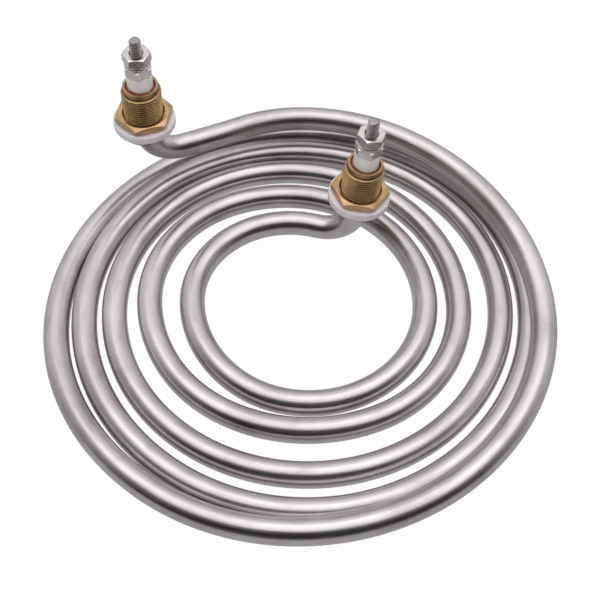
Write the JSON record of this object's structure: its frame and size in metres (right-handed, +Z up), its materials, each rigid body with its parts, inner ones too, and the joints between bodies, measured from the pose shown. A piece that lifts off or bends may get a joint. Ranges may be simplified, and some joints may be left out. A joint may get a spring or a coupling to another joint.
{
  "type": "flat spiral immersion heating element",
  "caption": "Tubular electric heating element wound as a flat spiral, both ends bent up into threaded bushings with insulated stud terminals.",
  "frame": {"origin": "middle of the sheath tube's plan, at the level the coil's lowest point rests on", "axes": "+Z up along the spiral's axis, towards the stud ends; -Y is the front, opposite both terminals; +X is to the right seen from the front"},
  "size_m": [0.1758, 0.1766, 0.0753],
  "materials": {
    "stainless_sheath": "satin stainless steel, drawn tube",
    "magnesia": "compacted magnesia powder",
    "resistance_wire": "nickel-chrome wire",
    "brass": "satin machined brass",
    "brass_nut": "satin machined brass, bright chamfers",
    "washer_polymer": "milky white silicone or PTFE",
    "stud_steel": "plain steel",
    "white_ceramic": "glazed white ceramic",
    "red_seal": "red-brown seal compound",
    "plated_steel": "bright nickel plate"
  },
  "bodies": {
    "heater": {"sheath_tube": "stainless_sheath", "magnesia_fill": "magnesia", "resistance_coil": "resistance_wire", "outer_threaded_bushing": "brass", "outer_terminal_pin": "stud_steel", "outer_ceramic_insulator": "white_ceramic", "outer_end_seal": "red_seal", "outer_lower_terminal_nut": "plated_steel", "inner_threaded_bushing": "brass", "inner_terminal_pin": "stud_steel", "inner_ceramic_insulator": "white_ceramic", "inner_end_seal": "red_seal", "inner_lower_terminal_nut": "plated_steel"},
    "outer_gasket": {"outer_sealing_washer": "washer_polymer"},
    "outer_lock_nut": {"outer_lock_nut": "brass_nut"},
    "outer_washer_pair": {"outer_flat_washer": "plated_steel", "outer_spring_washer": "plated_steel"},
    "outer_terminal_nut": {"outer_upper_terminal_nut": "plated_steel"},
    "inner_gasket": {"inner_sealing_washer": "washer_polymer"},
    "inner_lock_nut": {"inner_lock_nut": "brass_nut"},
    "inner_washer_pair": {"inner_flat_washer": "plated_steel", "inner_spring_washer": "plated_steel"},
    "inner_terminal_nut": {"inner_upper_terminal_nut": "plated_steel"}
  },
  "joints": [
    {"name": "outer_lock_nut_travel", "type": "slide", "parent": "heater", "child": "outer_gasket", "axis": [0, 0.0314, 0.9995], "range_m": [0, 0.013]},
    {"name": "outer_lock_nut_turn", "type": "hinge", "parent": "outer_gasket", "child": "outer_lock_nut", "pos_m": [-0.05605, 0.05883, 0.0406], "axis": [0, 0.0314, 0.9995], "range_deg": [0, 4680]},
    {"name": "outer_terminal_nut_travel", "type": "slide", "parent": "heater", "child": "outer_washer_pair", "axis": [0, 0.0314, 0.9995], "range_m": [0, 0.0084]},
    {"name": "outer_terminal_nut_turn", "type": "hinge", "parent": "outer_washer_pair", "child": "outer_terminal_nut", "pos_m": [-0.05605, 0.05964, 0.06634], "axis": [0, 0.0314, 0.9995], "range_deg": [0, 4320]},
    {"name": "inner_lock_nut_travel", "type": "slide", "parent": "heater", "child": "inner_gasket", "axis": [0.0851, 0.0348, 0.9958], "range_m": [0, 0.013]},
    {"name": "inner_lock_nut_turn", "type": "hinge", "parent": "inner_gasket", "child": "inner_lock_nut", "pos_m": [0.02074, 0.03684, 0.02795], "axis": [0.0851, 0.0348, 0.9958], "range_deg": [0, 4680]},
    {"name": "inner_terminal_nut_travel", "type": "slide", "parent": "heater", "child": "inner_washer_pair", "axis": [0.0851, 0.0348, 0.9958], "range_m": [0, 0.0084]},
    {"name": "inner_terminal_nut_turn", "type": "hinge", "parent": "inner_washer_pair", "child": "inner_terminal_nut", "pos_m": [0.02293, 0.03774, 0.05359], "axis": [0.0851, 0.0348, 0.9958], "range_deg": [0, 4320]}
  ],
  "couplings": [
    {"joint": "outer_lock_nut_turn", "follows": "outer_lock_nut_travel", "rad_per_m": 6283.2},
    {"joint": "outer_terminal_nut_turn", "follows": "outer_terminal_nut_travel", "rad_per_m": 8976},
    {"joint": "inner_lock_nut_turn", "follows": "inner_lock_nut_travel", "rad_per_m": 6283.2},
    {"joint": "inner_terminal_nut_turn", "follows": "inner_terminal_nut_travel", "rad_per_m": 8976}
  ]
}
